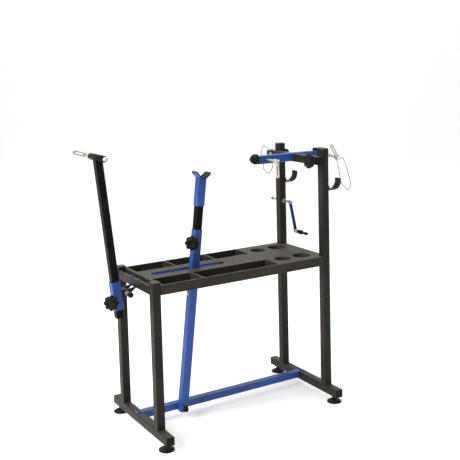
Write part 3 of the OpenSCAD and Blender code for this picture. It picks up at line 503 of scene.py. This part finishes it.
def nuts():
    """The three skewers' knurled nuts and the grip nut on the rear pivot bolt."""
    turned = [(2.6, 0, 0), (8.4, 0, 0), (9.0, 0.6, 0), (9.0, 3.4, 1), (8.6, 4.0, 1), (7.0, 4.3, 0),
              (6.6, 5.0, 1), (7.0, 5.6, 1), (7.0, 11.4, 1), (6.5, 12.3, 0), (5.6, 12.9, 0),
              (3.6, 12.9, 0), (2.9, 12.2, 0), (2.6, 12.2, 0), (2.6, 0, 0)]
    for name, node, body, direction in (("rear_nut_turned", "rear_skewer_nut", "rear_nut", (0, -1, 0)),
                                        ("fork_nut_turned", "fork_skewer_nut", "fork_nut", (0, 1, 0)),
                                        ("bar_nut_turned", "bar_skewer_nut", "bar_nut", (0, 1, 0))):
        fluted(name, node, body, "polished", direction, turned, 18, 0.06)
    grip = [(0, 14, 0), (4.06, 14, 0), (4.06, 0, 0), (7.6, 0, 0), (8.0, 0.5, 0), (8.0, 2.6, 0),
            (9.6, 3.3, 0), (10.5, 4.4, 1), (10.5, 13.8, 1), (9.8, 15.4, 1), (8.4, 17.4, 0),
            (6.4, 18.8, 0), (2.5, 18.9, 0), (0, 18.4, 0)]
    fluted("rear_grip_turned", "rear_pivot_grip", "rear_grip", "plastic_black", (0, -1, 0), grip, 10, 0.1)


def far_knob():
    """The round hand nut on the crossbar's far bolt: knurled rim and a dished face."""
    rim = [(0, 16, 0), (5.2, 16, 0), (5.2, 0, 0), (10.6, 0, 0), (11.0, 0.4, 0), (11.0, 3.0, 0),
           (17.6, 3.2, 0), (19.0, 4.4, 1), (19.0, 16.0, 1), (18.0, 17.6, 1), (15.5, 19.6, 0),
           (12.6, 21.6, 0), (11.4, 22.0, 0), (10.4, 21.2, 0), (6.0, 20.6, 0), (0, 20.5, 0)]
    fluted("far_knob_grip", "crossbar_far_knob", "far_knob", "plastic_black", (1, 0, 0), rim, 12, 0.11)


# ---------------------------------------------------------------- cables

def curve_through(points, per=12):
    """Smooth points through the given ones (Catmull-Rom)."""
    pts = [Vector(q) for q in points]
    pts = [2 * pts[0] - pts[1]] + pts + [2 * pts[-1] - pts[-2]]
    out = []
    for a, b, c, d in zip(pts, pts[1:], pts[2:], pts[3:]):
        for k in range(per):
            t = k / per
            out.append(0.5 * ((2 * b) + (c - a) * t + (2 * a - 5 * b + 4 * c - d) * t * t
                              + (3 * b - a - 3 * c + d) * t ** 3))
    out.append(pts[-2])
    return out


def strands(r, pitch=1.4):
    """Wire radius: the ridges of its twisted strands."""
    return lambda s: r * (0.88 + 0.12 * abs(math.sin(math.pi * s / pitch)))


def ferrule(bm, a, b, r):
    """A crimped sleeve: three pinches between rounded ends."""
    a, b = Vector(a), Vector(b)
    length = (b - a).length

    def pinch(s):
        ends = min(1.0, 0.6 + 4 * min(s, length - s) / length)
        return r * ends * (0.9 + 0.1 * math.cos(6 * math.pi * s / length))
    sweep(bm, [a.lerp(b, i / 24) for i in range(25)], pinch, 12)


def ring(bm, centre, r, thick):
    c = Vector(centre)
    sweep(bm, [c + r * Vector((math.cos(a), 0, math.sin(a)))
               for a in (2 * math.pi * i / 40 for i in range(40))], thick, 10, closed=True)


def hanging_loop(bm, centre, at_r, loop, wire):
    """A split ring round a skewer, a ferrule under it and a wire loop below."""
    c = Vector(centre)
    ring(bm, c, at_r + 1.0, 1.1)
    neck = c - Vector((0, 0, at_r + 2))
    path = [neck] + [c + Vector((x, y, z)) for x, y, z in loop] + [neck]
    sweep(bm, curve_through(path), strands(wire), 8)
    ferrule(bm, neck + Vector((0, 0, 1.5)), neck + Vector((0, 0, -7)), 2.3)


def cables():
    """Two wire loops on the skewers, and the tie from the stored skewer to the crossbar's end."""
    wire = 1.25
    cup_r = 8
    barrel_r = 5
    fork_ring = spot("fork_lever_swing") / MM + Vector((0, 9, 0))
    bar_ring = spot("bar_lever_swing") / MM
    bar_ring.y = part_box("fork_bar")[0][1] / MM - 12
    bm = bmesh.new()
    hanging_loop(bm, fork_ring, cup_r, [
        (14, 0, -13), (36, 1, -8), (50, 1, -36), (63, 1, -74), (73, 0, -108), (73, -1, -131),
        (59, -1, -144), (38, -1, -126), (24, 0, -108), (16, 0, -66), (8, 0, -26)], wire)
    hanging_loop(bm, bar_ring, barrel_r, [
        (-12, 0, -8), (-24, 1, -15), (-24, 1, -31), (-14, 0, -45), (-1, 0, -54),
        (12, 0, -42), (18, -1, -26), (13, 0, -12)], wire)
    start = spot("bar_nut_turn") / MM + Vector((0, 9, 0))
    lo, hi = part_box("crossbar")
    eye = Vector(((lo[0] + hi[0]) / 2, hi[1] - 10 * MM, hi[2])) / MM
    ring(bm, start, 3.5, 0.8)
    path = [start + Vector((0, 0, 4)), start + Vector((5, 0, 22)), start + Vector((9, 1, 41)),
            start + Vector((18, 8, 50)), start + Vector((34, 24, 49)), start + Vector((86, 74, 29)),
            eye + Vector((0, -8, 1.4))]
    sweep(bm, curve_through(path), strands(wire), 8)
    ferrule(bm, path[0], path[0].lerp(path[1], 0.4), 2.1)
    ferrule(bm, path[-1] + Vector((-4, -6, 2.5)), path[-1], 2.1)
    lug = bmesh.new()
    revolve(lug, [(0, 2.4), (1.6, 2.4), (2.6, 1.9), (2.9, 1.2), (4.2, 1.1), (4.5, 0.7), (4.5, 0.1),
                  (0, 0.1)], 32)
    bmesh.ops.translate(lug, verts=lug.verts, vec=eye)
    merge(bm, lug)
    add("cables", bm, "frame", "wire", smooth=math.radians(60), stands_for=("lanyards",))


def merge(bm, part):
    """Adds part's mesh to bm and frees part."""
    scratch = bpy.data.meshes.new("scratch")
    part.to_mesh(scratch)
    part.free()
    bm.from_mesh(scratch)
    bpy.data.meshes.remove(scratch)


# ---------------------------------------------------------------- threads and small hardware

def foot_threads():
    """The thread that shows between each foot's nut and the foot bar."""
    for side in ("rear_left", "rear_right", "front_left", "front_right"):
        node = "foot_" + side
        c = middle(node)
        bm = bmesh.new()
        thread(bm, 5.0, 22.0, 26.5, 1.5, 0.45)
        add(node + "_thread", bm, node, "steel", Matrix.Translation((c.x, c.y, 0)))


def sockets():
    """Hexagon sockets in the heads of the two screws on the rear rail tabs: shallow dished hexagons whose
    near-black is painted shade of the recess.
    """
    bm = bmesh.new()
    lo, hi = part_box("slot_rails")
    tab_w = 22
    for side in (-1, 1):
        at = (lo[0] / MM + CROSS_D / 2, side * (hi[1] / MM - tab_w / 2), hi[2] / MM + 2.5)
        part = bmesh.new()
        revolve(part, [(0, -0.5), (1.5, 0.04), (1.7, 0.12), (2.0, 0.05), (2.0, -0.4), (0, -0.6)], 6)
        bmesh.ops.translate(part, verts=part.verts, vec=at)
        merge(bm, part)
    # tube_black here is painted shade: the near-black stands for the shade inside each socket.
    add("rail_screw_sockets", bm, "frame", "tube_black")


# ---------------------------------------------------------------- softened edges of the CAD nodes

def soften(node, width, segments=2, angle=30):
    """Joins the CAD mesh's split corners and rounds its sharp edges by width millimetres."""
    obj = frame["nodes"][node]
    weld = obj.modifiers.new("weld", "WELD")
    weld.merge_threshold = 1e-6
    bevel = obj.modifiers.new("bevel", "BEVEL")
    bevel.width = width * MM
    bevel.segments = segments
    bevel.limit_method = "ANGLE"
    bevel.angle_limit = math.radians(angle)
    bevel.harden_normals = True


frame_welds()
post_welds()
lug_weld()
knobs()
nuts()
far_knob()
cables()
foot_threads()
sockets()

REPLACED = {"centre_clamp_knob", "rear_clamp_knob", "crossbar_near_knob", "crossbar_far_knob",
            "rear_skewer_nut", "fork_skewer_nut", "bar_skewer_nut", "rear_pivot_grip", "lanyards"}
WIDTH = {"post_caps": 1.0, "foot_bar_plugs": 0.7, "crossbar_end_caps": 0.7, "fork_bar_cap": 1.2,
         "fork_block": 1.0, "tray": 0.5, "hook_sleeves": 0.6, "cradle_pad": 0.6, "swing_arm": 0.6}
for node_name in frame["nodes"]:
    if node_name not in REPLACED:
        soften(node_name, WIDTH.get(node_name, 0.35))


# ---------------------------------------------------------------- stage, light and camera

def stage_mesh(name, bm):
    me = bpy.data.meshes.new(name)
    bm.to_mesh(me)
    bm.free()
    obj = bpy.data.objects.new(name, me)
    bpy.context.scene.collection.objects.link(obj)
    return obj


def floor():
    """One pale sheet: flat under the stand, curving up far behind it."""
    bm = bmesh.new()
    near, far, top, half_w = -9.0, 5.0, 9.0, 11.0
    bend = 2.5
    profile = [(near, 0.0), (far, 0.0)]
    profile += [(far + bend * math.sin(a), bend - bend * math.cos(a))
                for a in (math.radians(9 * i) for i in range(1, 11))]
    profile.append((far + bend, top))
    rows = []
    for y, z in profile:
        rows.append([bm.verts.new((x, y, z)) for x in (-half_w, half_w)])
    for a, b in zip(rows, rows[1:]):
        bm.faces.new((a[0], a[1], b[1], b[0]))
    bmesh.ops.rotate(bm, verts=bm.verts, matrix=Matrix.Rotation(math.radians(-31.0), 3, "Z"))
    obj = stage_mesh("floor", bm)
    for f in obj.data.polygons:
        f.use_smooth = True
    s = Shader("floor_paper")
    soft = s.noise(3.0, 2.0)
    base = s.mix(s.ramp(soft, 0.3, 0.7), rgb(0.86, 0.86, 0.858), rgb(0.88, 0.88, 0.878))
    s.bump(s.noise(700.0, 2.0), 0.05, 0.0002)
    obj.data.materials.append(s.done(base, 0.75, Emission_Color=base, Emission_Strength=0.42))


def area_light(name, spot, target, size, power, color=(1, 1, 1)):
    data = bpy.data.lights.new(name, "AREA")
    data.shape = "RECTANGLE"
    data.size, data.size_y = size
    data.energy = power
    data.color = color
    obj = bpy.data.objects.new(name, data)
    bpy.context.scene.collection.objects.link(obj)
    obj.location = spot
    obj.rotation_euler = (Vector(target) - Vector(spot)).to_track_quat("-Z", "Y").to_euler()


def camera():
    """The photograph's viewpoint, for a square frame."""
    heading, pitch, roll = (math.radians(a) for a in (31.19, 5.82, -1.44))
    look = Vector((math.sin(heading) * math.cos(pitch), math.cos(heading) * math.cos(pitch),
                   -math.sin(pitch)))
    data = bpy.data.cameras.new("camera")
    data.lens = 65.7
    data.shift_x = -0.0176
    data.shift_y = -0.1827
    obj = bpy.data.objects.new("camera", data)
    bpy.context.scene.collection.objects.link(obj)
    turn = look.to_track_quat("-Z", "Y").to_matrix().to_4x4()
    obj.matrix_world = Matrix.Translation((-1.6311, -2.8202, 1.3844)) @ turn @ Matrix.Rotation(roll, 4, "Z")
    bpy.context.scene.camera = obj


def lighting():
    world = bpy.data.worlds.new("studio")
    bpy.context.scene.world = world
    world.use_nodes = True
    world.node_tree.nodes["Background"].inputs[0].default_value = rgb(1.0, 0.995, 0.985)
    seen = world.node_tree.nodes.new("ShaderNodeLightPath").outputs["Is Camera Ray"]
    level = world.node_tree.nodes.new("ShaderNodeMapRange")
    level.inputs["To Min"].default_value = 0.42
    level.inputs["To Max"].default_value = 1.0
    world.node_tree.links.new(seen, level.inputs["Value"])
    world.node_tree.links.new(level.outputs[0], world.node_tree.nodes["Background"].inputs[1])
    area_light("key", (-3.6, -0.4, 2.2), (0, 0, 0.5), (1.8, 1.8), 150, (1, 0.97, 0.92))
    area_light("top", (-0.2, 0.2, 4.4), (0, 0, 0.5), (2.4, 2.4), 110, (1, 0.985, 0.96))
    area_light("fill", (2.6, -3.4, 1.6), (0, 0, 0.6), (1.8, 1.8), 5, (1, 0.99, 0.97))
    bpy.context.scene.view_settings.view_transform = "Standard"


floor()
lighting()
camera()
